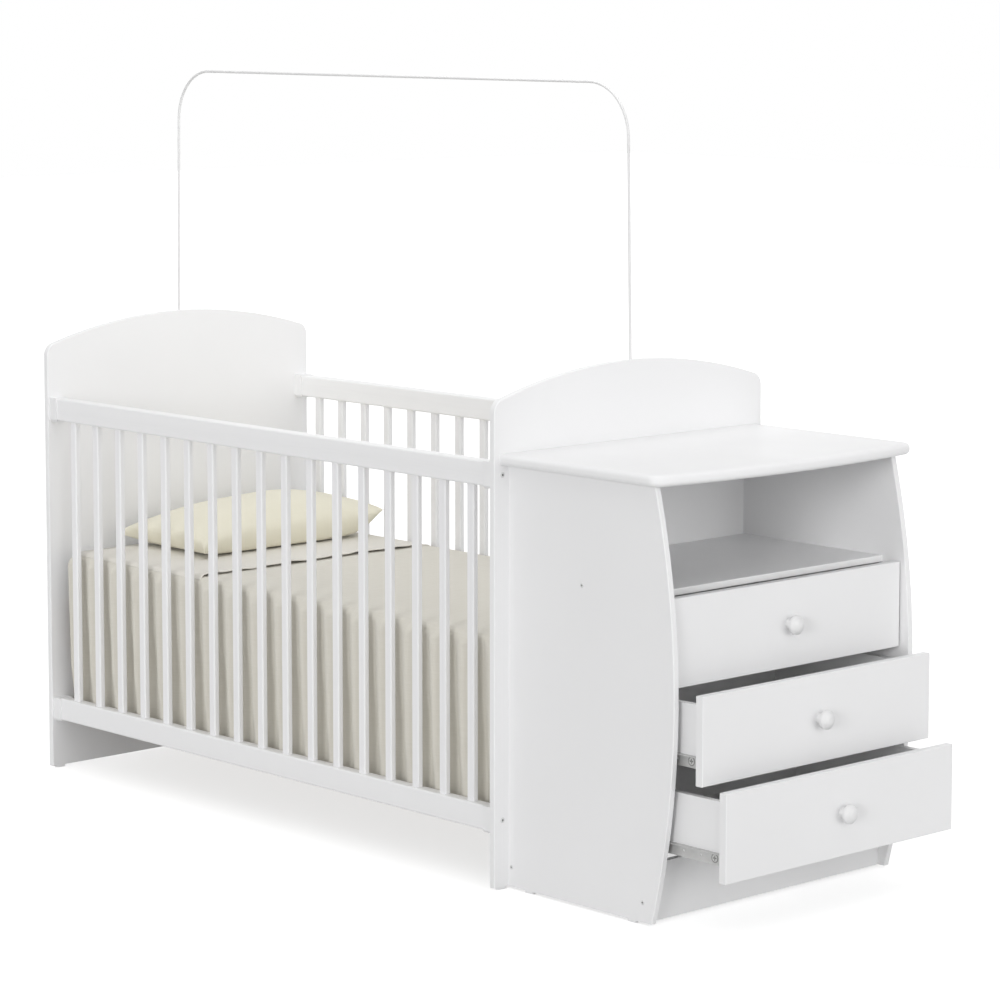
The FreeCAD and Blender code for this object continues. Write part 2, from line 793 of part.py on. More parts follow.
def knob(index):
    face = front_face + drawer_openings[index]
    z = up(front_low(index) + front_height / 2)

    def point(reach, radius):
        return V(face + reach, 0, z + radius)

    crown_height = knob_projection - knob_rim_high
    crown_radius = (knob_radius ** 2 + crown_height ** 2) / (2 * crown_height)
    crown_angle = math.asin(knob_radius / crown_radius)
    corners = [
        point(0, 0),
        point(0, knob_foot_radius),
        point(knob_neck_reach, knob_neck_radius),
        point(knob_rim_low, knob_radius),
    ]
    for step in range(knob_crown_steps):
        angle = crown_angle * (1 - step / knob_crown_steps)
        reach = knob_projection - crown_radius * (1 - math.cos(angle))
        corners.append(point(reach, crown_radius * math.sin(angle)))
    corners += [point(knob_projection, 0), point(0, 0)]
    profile = Part.Face(Part.makePolygon(corners))
    return profile.revolve(corners[0], along_x, 360)


def crib_pieces():
    return {
        "headboard": [end_panel(head_face - panel_thickness)],
        "footboard": [end_panel(foot_face)],
        "front_top_rail": [rail(-1, top_rail_low)],
        "front_bottom_rail": [rail(-1, bottom_rail_low)],
        "back_top_rail": [rail(1, top_rail_low)],
        "back_bottom_rail": [rail(1, bottom_rail_low)],
        "front_slats": [slat(x, -1) for x in slat_places()],
        "back_slats": [slat(x, 1) for x in slat_places()],
        "rail_sockets": rail_sockets(),
        "rail_bolts": rail_bolts(),
        "base_ledgers": base_ledgers(),
        "base_stringers": base_stringers(),
        "base_laths": base_laths(),
        "mattress": [mattress()],
        "bedspread": [bedspread()],
        "folded_sheet": [folded_sheet()],
        "pillow": [pillow()],
        "net_arch": [net_arch()],
    }


def dresser_pieces():
    return {
        "dresser_side_left": [dresser_side(-1)],
        "dresser_side_right": [dresser_side(1)],
        "changing_top": [changing_top()],
        "niche_shelf": [niche_shelf()],
        "kick_plate": [kick_plate()],
        "rear_stretcher": [rear_stretcher()],
        "corner_brackets": corner_brackets(),
        "top_dowels": top_dowels(),
        "side_screws": side_screws(),
        "floor_glides": floor_glides(),
    }


def drawer_pieces(index):
    name = f"drawer_{index + 1}"
    return {
        f"cabinet_runners_{index + 1}": [cabinet_runner(side, index) for side in (-1, 1)],
        f"cabinet_rollers_{index + 1}": [cabinet_roller(side, index) for side in (-1, 1)],
        f"{name}_front": [drawer_front(index)],
        f"{name}_left_side": [drawer_side(-1, index)],
        f"{name}_right_side": [drawer_side(1, index)],
        f"{name}_back": [drawer_back(index)],
        f"{name}_bottom": [drawer_bottom(index)],
        f"{name}_knob": [knob(index)],
        f"{name}_runners": [drawer_runner(side, index) for side in (-1, 1)],
        f"{name}_rollers": [drawer_roller(side, index) for side in (-1, 1)],
    }


pieces = crib_pieces()
pieces.update(dresser_pieces())
for drawer_index in range(drawer_count):
    pieces.update(drawer_pieces(drawer_index))

os.makedirs("parts", exist_ok=True)
for node, solids in pieces.items():
    shape = solids[0] if len(solids) == 1 else Part.makeCompound(solids)
    shape.exportStep(f"parts/{node}.step")
print(len(pieces), "nodes")
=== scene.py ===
import json
import math
import bmesh
import bpy
from mathutils import Matrix, Vector, noise


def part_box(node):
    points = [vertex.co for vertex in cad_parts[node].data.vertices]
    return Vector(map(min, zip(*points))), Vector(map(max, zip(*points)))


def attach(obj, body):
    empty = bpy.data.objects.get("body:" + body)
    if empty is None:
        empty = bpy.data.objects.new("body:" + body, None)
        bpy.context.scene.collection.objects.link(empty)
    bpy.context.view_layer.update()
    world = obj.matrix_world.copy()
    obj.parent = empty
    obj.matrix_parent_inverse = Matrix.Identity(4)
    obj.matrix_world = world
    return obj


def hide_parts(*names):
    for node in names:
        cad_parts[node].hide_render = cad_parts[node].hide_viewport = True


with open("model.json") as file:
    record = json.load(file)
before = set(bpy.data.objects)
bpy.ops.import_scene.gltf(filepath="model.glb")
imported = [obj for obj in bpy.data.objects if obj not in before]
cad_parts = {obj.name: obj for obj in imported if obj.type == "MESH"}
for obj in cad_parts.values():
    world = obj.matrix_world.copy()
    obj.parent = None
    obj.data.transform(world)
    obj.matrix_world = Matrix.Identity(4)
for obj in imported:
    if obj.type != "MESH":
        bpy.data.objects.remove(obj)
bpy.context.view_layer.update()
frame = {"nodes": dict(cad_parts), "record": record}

# White crib with a dresser. Everything is in metres, in the CAD frame: +X to the drawers, +Z up.
nodes = frame["nodes"]
scene = bpy.context.scene
drawerNumbers = (1, 2, 3)
print("frame loaded:", len(nodes), "nodes")


# Small helpers

def smooth(value):
    value = min(max(value, 0.0), 1.0)
    return value * value * (3.0 - 2.0 * value)


def wobble(x, y, waves):
    # soft noise in -1..1, the same on every run; waves are its scales along x and y and a seed
    return noise.noise(Vector((x * waves[0], y * waves[1], waves[2])))


def once(items):
    # each item a single time, in the order given
    return list(dict.fromkeys(items))


def addNode(tree, kind, **values):
    node = tree.nodes.new(kind)
    for name, value in values.items():
        setattr(node, name, value)
    return node


def feed(tree, value, socket):
    # links another node's output, or sets a plain value
    if isinstance(value, bpy.types.NodeSocket):
        tree.links.new(value, socket)
    else:
        socket.default_value = value


def mathNode(tree, operation, *values, clamp=False):
    node = addNode(tree, "ShaderNodeMath", operation=operation, use_clamp=clamp)
    for value, socket in zip(values, node.inputs):
        feed(tree, value, socket)
    return node.outputs[0]


noiseSpan = (0.3, 0.7)   # where most values of a noise texture lie


def rangeNode(tree, value, low, high):
    # spreads a noise value between two limits
    node = addNode(tree, "ShaderNodeMapRange")
    for name, given in (("Value", value), ("From Min", noiseSpan[0]), ("From Max", noiseSpan[1]),
                        ("To Min", low), ("To Max", high)):
        feed(tree, given, node.inputs[name])
    return node.outputs[0]


def mixColour(tree, factor, first, second):
    node = addNode(tree, "ShaderNodeMix", data_type="RGBA")
    for name, given in (("Factor", factor), ("A", first), ("B", second)):
        feed(tree, given, node.inputs[name])
    return node.outputs["Result"]


def noiseNode(tree, vector, scale, detail):
    node = addNode(tree, "ShaderNodeTexNoise")
    for name, given in (("Vector", vector), ("Scale", scale), ("Detail", detail)):
        feed(tree, given, node.inputs[name])
    return node.outputs["Fac"]


def stretchNode(tree, vector, scale):
    node = addNode(tree, "ShaderNodeMapping")
    for name, given in (("Vector", vector), ("Scale", scale)):
        feed(tree, given, node.inputs[name])
    return node.outputs["Vector"]


# Shared surface effects: each gives a colour, a roughness and a height
skinOutputs = [("Color", "Color"), ("Roughness", "Float"), ("Height", "Float")]


def newGroup(name, inputs):
    group = bpy.data.node_groups.new(name, "ShaderNodeTree")
    for kind, rows in (("INPUT", inputs), ("OUTPUT", skinOutputs)):
        for socketName, socketType in rows:
            group.interface.new_socket(socketName, in_out=kind, socket_type="NodeSocket" + socketType)
    return group, group.nodes.new("NodeGroupInput").outputs, group.nodes.new("NodeGroupOutput").inputs


lacquer = {"cloudDetail": 4.0, "smearScale": 3.7, "smearDetail": 3.0, "peelDetail": 2.0}


def lacquerGroup():
    # cloudy tint, uneven gloss and a fine orange peel, for sprayed or moulded skins
    group, given, made = newGroup(
        "lacquerSkin",
        [("Vector", "Vector"), ("Base", "Color"), ("Shade", "Color"), ("Cloud Scale", "Float"),
         ("Peel Scale", "Float"), ("Gloss Low", "Float"), ("Gloss High", "Float")])
    place = given["Vector"]
    cloud = noiseNode(group, place, given["Cloud Scale"], lacquer["cloudDetail"])
    tint = rangeNode(group, cloud, 0.0, 1.0)
    smearScale = mathNode(group, "MULTIPLY", given["Cloud Scale"], lacquer["smearScale"])
    smear = noiseNode(group, place, smearScale, lacquer["smearDetail"])
    feed(group, mixColour(group, tint, given["Base"], given["Shade"]), made["Color"])
    feed(group, rangeNode(group, smear, given["Gloss Low"], given["Gloss High"]), made["Roughness"])
    feed(group, noiseNode(group, place, given["Peel Scale"], lacquer["peelDetail"]), made["Height"])
    return group


grain = {"fibreDetail": 5.0, "ringWarp": 6.0, "ringDetail": 2.0, "leastStreak": 0.35, "streakHeight": 0.4}


def grainGroup():
    # long fibres, once the material's Mapping has stretched them
    group, given, made = newGroup(
        "woodFibre",
        [("Vector", "Vector"), ("Base", "Color"), ("Shade", "Color"), ("Fibre Scale", "Float"),
         ("Ring Scale", "Float"), ("Gloss Low", "Float"), ("Gloss High", "Float")])
    fibre = noiseNode(group, given["Vector"], given["Fibre Scale"], grain["fibreDetail"])
    rings = addNode(group, "ShaderNodeTexWave", wave_type="RINGS", rings_direction="X")
    for name, value in (("Vector", given["Vector"]), ("Scale", given["Ring Scale"]),
                        ("Distortion", grain["ringWarp"]), ("Detail", grain["ringDetail"])):
        feed(group, value, rings.inputs[name])
    broken = rangeNode(group, fibre, grain["leastStreak"], 1.0)
    streak = mathNode(group, "MULTIPLY", rings.outputs["Fac"], broken, clamp=True)
    height = mathNode(group, "ADD", fibre, mathNode(group, "MULTIPLY", streak, grain["streakHeight"]))
    feed(group, mixColour(group, streak, given["Base"], given["Shade"]), made["Color"])
    feed(group, rangeNode(group, fibre, given["Gloss Low"], given["Gloss High"]), made["Roughness"])
    feed(group, height, made["Height"])
    return group


weave = {
    "slubStretch": 0.06, "slubScale": 0.45, "slubDetail": 3.0, "slubHeight": 0.6, "threadTint": 0.25,
    "gloss": (0.78, 0.92),
}


def weaveGroup():
    # plain weave on the cloth's own UV map, which is in metres, with slubs along both threads
    group, given, made = newGroup(
        "threadWeave",
        [("Vector", "Vector"), ("Base", "Color"), ("Shade", "Color"), ("Threads", "Float"),
         ("Slub", "Float")])
    split = addNode(group, "ShaderNodeSeparateXYZ")
    feed(group, given["Vector"], split.inputs[0])
    turns = mathNode(group, "MULTIPLY", given["Threads"], 2.0 * math.pi)
    warp, weft = [mathNode(group, "SINE", mathNode(group, "MULTIPLY", split.outputs[axis], turns))
                  for axis in "XY"]
    thread = mathNode(group, "MULTIPLY_ADD", mathNode(group, "MULTIPLY", warp, weft), 0.5, 0.5)
    slubScale = mathNode(group, "MULTIPLY", given["Threads"], weave["slubScale"])
    streaks = []
    for stretch in ((weave["slubStretch"], 1.0, 1.0), (1.0, weave["slubStretch"], 1.0)):
        stretched = stretchNode(group, given["Vector"], stretch)
        streaks.append(noiseNode(group, stretched, slubScale, weave["slubDetail"]))
    slub = rangeNode(group, mathNode(group, "MULTIPLY", mathNode(group, "ADD", *streaks), 0.5), 0.0, 1.0)
    threadTint = mathNode(group, "MULTIPLY", thread, weave["threadTint"])
    tint = mathNode(group, "MULTIPLY_ADD", slub, given["Slub"], threadTint)
    feed(group, mixColour(group, tint, given["Base"], given["Shade"]), made["Color"])
    feed(group, rangeNode(group, slub, *weave["gloss"]), made["Roughness"])
    feed(group, mathNode(group, "MULTIPLY_ADD", slub, weave["slubHeight"], thread), made["Height"])
    return group


effects = {"lacquer": lacquerGroup(), "grain": grainGroup(), "weave": weaveGroup()}
print("surface effects ready:", ", ".join(effects))


def finish(name, effect, values, bump, shader=None, stretch=None, coords="Object"):
    # one material: the effect's colour, roughness and height on the shader, constants on its sockets
    material = bpy.data.materials.new(name)
    material.use_nodes = True
    tree = material.node_tree
    surface = tree.nodes["Principled BSDF"].inputs
    skin = addNode(tree, "ShaderNodeGroup", node_tree=effects[effect])
    place = addNode(tree, "ShaderNodeTexCoord").outputs[coords]
    if stretch:
        place = stretchNode(tree, place, stretch)
    feed(tree, place, skin.inputs["Vector"])
    for socket, value in values.items():
        skin.inputs[socket].default_value = (*value, 1.0) if isinstance(value, tuple) else value
    relief = addNode(tree, "ShaderNodeBump")
    relief.inputs["Strength"].default_value, relief.inputs["Distance"].default_value = bump
    feed(tree, skin.outputs["Height"], relief.inputs["Height"])
    feed(tree, skin.outputs["Color"], surface["Base Color"])
    feed(tree, skin.outputs["Roughness"], surface["Roughness"])
    feed(tree, relief.outputs["Normal"], surface["Normal"])
    for socket, value in (shader or {}).items():
        surface[socket].default_value = value
    return material


# Finishes of the CAD pieces, one per slot of the record
boardFinish = finish(
    "whiteBoard", "lacquer",
    {"Base": (0.845, 0.845, 0.85), "Shade": (0.825, 0.825, 0.83), "Cloud Scale": 3.0, "Peel Scale": 900.0,
     "Gloss Low": 0.34, "Gloss High": 0.44},
    bump=(0.05, 0.0003))
railFinish = finish(
    "whiteRail", "grain",
    {"Base": (0.85, 0.85, 0.855), "Shade": (0.825, 0.825, 0.83), "Fibre Scale": 260.0, "Ring Scale": 8.0,
     "Gloss Low": 0.32, "Gloss High": 0.46},
    bump=(0.06, 0.0003), stretch=(0.05, 1.0, 1.0))
slatFinish = finish(
    "whiteSlat", "grain",
    {"Base": (0.85, 0.85, 0.86), "Shade": (0.825, 0.825, 0.835), "Fibre Scale": 260.0, "Ring Scale": 8.0,
     "Gloss Low": 0.32, "Gloss High": 0.46},
    bump=(0.06, 0.0003), stretch=(1.0, 1.0, 0.05))
plasticFinish = finish(
    "whitePlastic", "lacquer",
    {"Base": (0.85, 0.85, 0.855), "Shade": (0.82, 0.82, 0.825), "Cloud Scale": 20.0, "Peel Scale": 2600.0,
     "Gloss Low": 0.36, "Gloss High": 0.5},
    bump=(0.12, 0.0002))
knobFinish = finish(
    "whiteKnob", "lacquer",
    {"Base": (0.77, 0.77, 0.77), "Shade": (0.74, 0.74, 0.745), "Cloud Scale": 30.0, "Peel Scale": 1200.0,
     "Gloss Low": 0.4, "Gloss High": 0.5},
    bump=(0.05, 0.0002))
rodFinish = finish(
    "whiteRod", "lacquer",
    {"Base": (0.74, 0.74, 0.74), "Shade": (0.71, 0.71, 0.715), "Cloud Scale": 9.0, "Peel Scale": 1500.0,
     "Gloss Low": 0.3, "Gloss High": 0.42},
    bump=(0.08, 0.0002))
runnerFinish = finish(
    "runnerSteel", "lacquer",
    {"Base": (0.53, 0.53, 0.525), "Shade": (0.46, 0.46, 0.455), "Cloud Scale": 60.0, "Peel Scale": 1800.0,
     "Gloss Low": 0.3, "Gloss High": 0.46},
    bump=(0.1, 0.0002), shader={"Metallic": 0.25})
rollerFinish = finish(
    "rollerNylon", "lacquer",
    {"Base": (0.66, 0.65, 0.62), "Shade": (0.58, 0.57, 0.54), "Cloud Scale": 90.0, "Peel Scale": 2200.0,
     "Gloss Low": 0.42, "Gloss High": 0.55},
    bump=(0.1, 0.0002), shader={"Subsurface Weight": 0.05})
steelFinish = finish(
    "brightSteel", "grain",
    {"Base": (0.62, 0.62, 0.61), "Shade": (0.5, 0.5, 0.5), "Fibre Scale": 1500.0, "Ring Scale": 40.0,
     "Gloss Low": 0.26, "Gloss High": 0.42},
    bump=(0.1, 0.0001), shader={"Metallic": 1.0}, stretch=(1.0, 1.0, 0.1))
pineFinish = finish(
    "rawPine", "grain",
    {"Base": (0.66, 0.48, 0.29), "Shade": (0.5, 0.32, 0.17), "Fibre Scale": 190.0, "Ring Scale": 26.0,
     "Gloss Low": 0.55, "Gloss High": 0.75},
    bump=(0.25, 0.0004), stretch=(1.0, 0.06, 1.0))
fibreboardFinish = finish(
    "drawerFibreboard", "lacquer",
    {"Base": (0.84, 0.84, 0.835), "Shade": (0.80, 0.80, 0.795), "Cloud Scale": 14.0, "Peel Scale": 700.0,
     "Gloss Low": 0.5, "Gloss High": 0.66},
    bump=(0.15, 0.0003))

slotFinish = {
    "white_board": boardFinish, "white_rail": railFinish, "white_plastic": plasticFinish,
    "white_knob": knobFinish, "white_rod": rodFinish, "runner_steel": runnerFinish,
    "roller_nylon": rollerFinish, "bright_steel": steelFinish, "raw_pine": pineFinish,
    "hardboard": fibreboardFinish,
}
softNodes = ("mattress", "bedspread", "folded_sheet", "pillow")
# painted light: a lighter colour on the shelf's front edge, where the tabletop's overhang shades it
shelfPaintedLight = {"thickness": 0.0008, "colour": (0.95, 0.95, 0.95, 1.0)}


def paintedLightFinish(name, plain, frontX):
    # the plain board with a lighter colour on its front edge: painted light where the tabletop's overhang
    # shades that edge
    material = plain.copy()
    material.name = name
    tree = material.node_tree
    skin = next(node for node in tree.nodes if node.type == "GROUP")
    place = addNode(tree, "ShaderNodeSeparateXYZ")
    feed(tree, addNode(tree, "ShaderNodeTexCoord").outputs["Object"], place.inputs[0])
    # the front strip gets the painted light
    mask = mathNode(tree, "GREATER_THAN", place.outputs["X"], frontX - shelfPaintedLight["thickness"])
    paintedLitColour = mixColour(tree, mask, skin.outputs["Color"], shelfPaintedLight["colour"])
    feed(tree, paintedLitColour, tree.nodes["Principled BSDF"].inputs["Base Color"])
    return material


def dress(node, material):
    nodes[node].material_slots[0].material = material


for row in frame["record"]["subparts"]:
    if row["node"] not in softNodes:
        dress(row["node"], slotFinish[row["material_slot"]])
for slats in ("front_slats", "back_slats"):
    dress(slats, slatFinish)
# the shelf's front edge takes painted light
dress("niche_shelf", paintedLightFinish("whiteShelfPaintedLight", boardFinish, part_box("niche_shelf")[1].x))
print("CAD pieces finished:", len(nodes) - len(softNodes))


# Making and keeping pieces

def keepPiece(bm, name, material, body, stands=None, smoothed=True, second=None):
    mesh = bpy.data.meshes.new(name)
    bm.to_mesh(mesh)
    bm.free()
    piece = bpy.data.objects.new(name, mesh)
    scene.collection.objects.link(piece)
    mesh.materials.append(material)
    if second:
        mesh.materials.append(second)
    if smoothed:
        mesh.shade_smooth()
    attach(piece, body)
    if stands:
        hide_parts(stands)
    return piece


def addModifier(piece, kind, **values):
    modifier = piece.modifiers.new(kind.title(), kind)
    for name, value in values.items():
        setattr(modifier, name, value)
    return modifier


def applyModifiers(piece):
    graph = bpy.context.evaluated_depsgraph_get()
    done = bpy.data.meshes.new_from_object(piece.evaluated_get(graph))
    piece.modifiers.clear()
    piece.data = done


def setUv(bm, where):
    # where gives a vertex its place on the flat cloth, in metres
    layer = bm.loops.layers.uv.new("flat")
    for face in bm.faces:
        for loop in face.loops:
            loop[layer].uv = where[loop.vert]


# Cloth finishes

def clothFinish(name, values, bump, sheen):
    return finish(name, "weave", values, bump, {"Sheen Weight": sheen, "Sheen Roughness": 0.5}, coords="UV")


spreadFinish = clothFinish(
    "spreadCloth",
    {"Base": (0.735, 0.71, 0.645), "Shade": (0.655, 0.63, 0.55), "Threads": 700.0, "Slub": 0.55},
    bump=(0.35, 0.0004), sheen=0.15)
sheetFinish = clothFinish(
    "sheetCloth",
    {"Base": (0.77, 0.745, 0.69), "Shade": (0.70, 0.675, 0.61), "Threads": 900.0, "Slub": 0.4},
    bump=(0.3, 0.0003), sheen=0.12)
pillowFinish = clothFinish(
    "pillowCloth",
    {"Base": (0.82, 0.79, 0.66), "Shade": (0.77, 0.735, 0.595), "Threads": 900.0, "Slub": 0.35},
    bump=(0.3, 0.0003), sheen=0.12)
tickingFinish = clothFinish(
    "mattressTicking",
    {"Base": (0.80, 0.79, 0.76), "Shade": (0.72, 0.71, 0.68), "Threads": 500.0, "Slub": 0.5},
    bump=(0.35, 0.0005), sheen=0.1)


# Bedspread: flat over the mattress, round over its long edges, hanging in folds behind the slats
spread = {
    "alongSteps": 300, "topSteps": 20, "sideSteps": 44, "thickness": 0.0016,
    "lift": 0.0009, "footReach": 0.019,            # off the mattress, and on to its foot end
    "edgeRound": 0.016, "foldLine": 0.3035,        # round over the edge, and how far out it hangs
    "ripple": 0.0010, "rippleFade": 0.02, "rippleNoise": (7, 9, 1.3),
    "slatCount": 17, "slatWidth": 0.018,           # each valley is behind a slat, each ridge in a gap
    "foldJitter": 0.006, "jitterNoise": (2.3, 5.1, 0.7),
    "foldDepth": 0.0078, "foldRound": 1.5, "bulge": 0.003,
    "foldLean": 0.006, "leanNoise": (9, 3.0, 4.2),
    "strength": 0.85, "strengthVary": 0.15, "strengthNoise": (1.7, 2.0, 8.8),
    "rampStart": 0.007, "rampEnd": 0.024, "rampVary": 0.3, "rampNoise": (3.1, 1.0, 2.2),
    "hemExtra": 0.008, "hemFrom": 0.35, "hemSpan": 0.3, "hemDrawIn": 0.007,   # deeper near the hem
    "gapBulge": 0.0065, "railClear": 0.155, "railTaper": 0.07,   # ridges belly into the gaps above the rail
}
spreadLow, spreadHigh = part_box("bedspread")
slatLow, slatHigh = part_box("front_slats")
slatFirst = slatLow.x + spread["slatWidth"] / 2
slatPitch = (slatHigh.x - slatLow.x - spread["slatWidth"]) / (spread["slatCount"] - 1)
topHalf = spread["foldLine"] - spread["edgeRound"]
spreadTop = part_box("mattress")[1].z + spread["lift"] + spread["thickness"] / 2
sideLength = spread["edgeRound"] * (math.pi / 2 - 1) + spreadTop - spreadLow.z
valleyRows = {
    side: [slatFirst + slatPitch * i + spread["foldJitter"] * wobble(i, side, spread["jitterNoise"])
           for i in range(-1, spread["slatCount"] + 1)]
    for side in (-1, 1)}


def foldPhase(x, valleys):
    # which fold x is in, and how far across it from one valley to the next
    for index in range(len(valleys) - 1):
        if x <= valleys[index + 1]:
            break
    return index, (x - valleys[index]) / (valleys[index + 1] - valleys[index])


def edgePlace(x, reach, below, off):
    # way out and height on the plain cloth, before its folds
    turn = min(below / spread["edgeRound"], math.pi / 2)
    y = min(abs(reach), topHalf) + (spread["edgeRound"] + off) * math.sin(turn)
    z = spreadTop - spread["edgeRound"] + (spread["edgeRound"] + off) * math.cos(turn)
    z -= max(below - spread["edgeRound"] * math.pi / 2, 0.0)
    rise = 0.5 + 0.5 * wobble(x, reach, spread["rippleNoise"])
    z += spread["ripple"] * rise * smooth(1 - below / spread["rippleFade"])
    return y, z


def spreadPlace(x, reach, off=0.0):
    # a point of the cloth from its place along the bed and its way out from the middle line, off above it
    side = 1 if reach >= 0 else -1
    below = max(abs(reach) - topHalf, 0.0)
    y, z = edgePlace(x, reach, below, off)
    progress = below / sideLength
    lean = spread["foldLean"] * progress * wobble(x, side, spread["leanNoise"])
    index, across = foldPhase(x + lean, valleyRows[side])
    ridge = abs(math.sin(math.pi * across)) ** spread["foldRound"]
    strength = spread["strength"] + spread["strengthVary"] * wobble(index, side, spread["strengthNoise"])
    rampEnd = spread["rampEnd"] * (1 + spread["rampVary"] * wobble(index, side, spread["rampNoise"]))
    push = smooth((below - spread["rampStart"]) / rampEnd) * strength
    deepen = smooth((progress - spread["hemFrom"]) / spread["hemSpan"])
    valleyDepth = spread["foldDepth"] + spread["hemExtra"] * deepen
    y += push * (spread["foldDepth"] * ridge - valleyDepth * (1 - ridge)) - spread["hemDrawIn"] * progress
    y += spread["gapBulge"] * push * ridge ** 2 * smooth((z - spread["railClear"]) / spread["railTaper"])
    x += push * spread["bulge"] * math.sin(2 * math.pi * across)
    return Vector((x, side * y, z))


def makeBedspread():
    rows = spread["topSteps"] + 2 * spread["sideSteps"]
    topShare = spread["topSteps"] / rows
    length = spreadHigh.x + spread["footReach"] - spreadLow.x
    bm = bmesh.new()
    bmesh.ops.create_grid(bm, x_segments=spread["alongSteps"], y_segments=rows, size=1.0)
    flat = {}
    for vert in bm.verts:
        x = spreadLow.x + (vert.co.x + 1) / 2 * length
        share = abs(vert.co.y)
        if share <= topShare:
            reach = share / topShare * topHalf
        else:
            reach = topHalf + (share - topShare) / (1 - topShare) * sideLength
        reach = math.copysign(reach, vert.co.y)
        flat[vert] = (x, reach)
        vert.co = spreadPlace(x, reach)
    setUv(bm, flat)
    piece = keepPiece(bm, "bedspreadCloth", spreadFinish, "frame", "bedspread")
    addModifier(piece, "SOLIDIFY", thickness=spread["thickness"], offset=0.0)
    return piece


bedspread = makeBedspread()
print("bedspread draped:", len(bedspread.data.polygons), "faces")


# Sheet folded back over the bedspread: its hem stands a little off it, its sides go over the mattress edges
foldedSheet = {
    "alongSteps": 110, "acrossSteps": 150, "rowPower": 0.6,   # rows lie closer towards the hem
    "thickness": 0.0014, "off": 0.0017, "sideOver": 0.013, "sideFade": 0.010, "sideOff": 0.15,
    "hemBack": 0.004, "hemWander": 0.006, "hemNoise": (9, 0.3, 5.5),
    "hemFine": 0.4, "hemFineNoise": (31, 1.3, 5.5),
    "hemLift": 0.0058, "liftShare": 0.75, "liftVary": 0.9, "liftNoise": (21, 2.0, 9.1), "hemReach": 0.05,
    "backTuck": 0.014, "tuckFade": 0.02,           # the lift ends short of the back edge
    "stitchBack": 0.012, "stitchDip": 0.0009, "stitchWidth": 0.0025,
}


def hemLine(reach):
    # how far the hem wanders along the bed at this way across it
    wander = wobble(reach, 1, foldedSheet["hemNoise"])
    wander += foldedSheet["hemFine"] * wobble(reach, 1, foldedSheet["hemFineNoise"])
    return foldedSheet["hemWander"] * wander


def sheetOff(reach, back):
    # height above the bedspread, from the way across the bed and back from the hem
    inside = smooth((topHalf + foldedSheet["sideFade"] - abs(reach)) / foldedSheet["sideFade"])
    flatOff = foldedSheet["off"] * (foldedSheet["sideOff"] + (1 - foldedSheet["sideOff"]) * inside)
    wave = foldedSheet["liftShare"] + foldedSheet["liftVary"] * wobble(reach, 1, foldedSheet["liftNoise"])
    lift = foldedSheet["hemLift"] * wave * smooth(1 - back / foldedSheet["hemReach"])
    lift *= smooth((topHalf - foldedSheet["backTuck"] - reach) / foldedSheet["tuckFade"])
    stitch = (back - foldedSheet["stitchBack"]) / foldedSheet["stitchWidth"]
    dip = foldedSheet["stitchDip"] * math.exp(-stitch ** 2)
    return flatOff + (lift - dip) * inside


def makeFoldedSheet():
    low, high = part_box("folded_sheet")
    bm = bmesh.new()
    bmesh.ops.create_grid(bm, x_segments=foldedSheet["alongSteps"], y_segments=foldedSheet["acrossSteps"],
                          size=1.0)
    flat = {}
    for vert in bm.verts:
        along = ((vert.co.x + 1) / 2) ** foldedSheet["rowPower"]
        reach = vert.co.y * (topHalf + foldedSheet["sideOver"])
        hemX = high.x - foldedSheet["hemBack"] + hemLine(reach)
        x = low.x + along * (hemX - low.x)
        flat[vert] = (x, reach)
        vert.co = spreadPlace(x, reach, sheetOff(reach, hemX - x))
    setUv(bm, flat)
    piece = keepPiece(bm, "foldedSheetCloth", sheetFinish, "frame", "folded_sheet")
    addModifier(piece, "SOLIDIFY", thickness=foldedSheet["thickness"], offset=0.0)
    return piece


sheetCloth = makeFoldedSheet()
print("sheet laid:", len(sheetCloth.data.polygons), "faces")


# Pillow: two panels sewn round their edges, full and blunt, loosened by a cloth simulation
pillow = {
    "stepsAcross": 56, "stepsAlong": 92, "mergeDistance": 0.0001,
    "edgePower": 3.4, "fullness": 0.46, "flatBelow": 1.8, "belowPower": 0.6,
    "pullIn": 0.03, "seamIn": 0.013,               # sides drawn in between the corners
    "swell": 0.020, "swellUntil": 0.75, "swellPower": 8,   # the upper panel stands out over its seam
    "corners": ((-1, -1), (1, -1), (-1, 1), (1, 1)),   # head or foot end of the bed, near or back side
    "seamHeights": (0.019, 0.012, 0.020, 0.010), "crownHeights": (0.072, 0.077, 0.095, 0.091),
    "backLift": 0.043,
    "frames": 18, "mostMove": 0.006, "facing": 0.4,   # only what faces up is moved, and no further than this
    "cloth": {
        "quality": 6, "mass": 0.25, "tension_stiffness": 18.0, "compression_stiffness": 12.0,
        "shear_stiffness": 6.0, "bending_stiffness": 0.4, "shrink_min": -0.03, "use_pressure": True,
        "uniform_pressure_force": 2.0},
}


def blend(values, u, v):
    # between the four corners' values
    return sum(value * (1 + cu * u) * (1 + cv * v) / 4 for (cu, cv), value in zip(pillow["corners"], values))


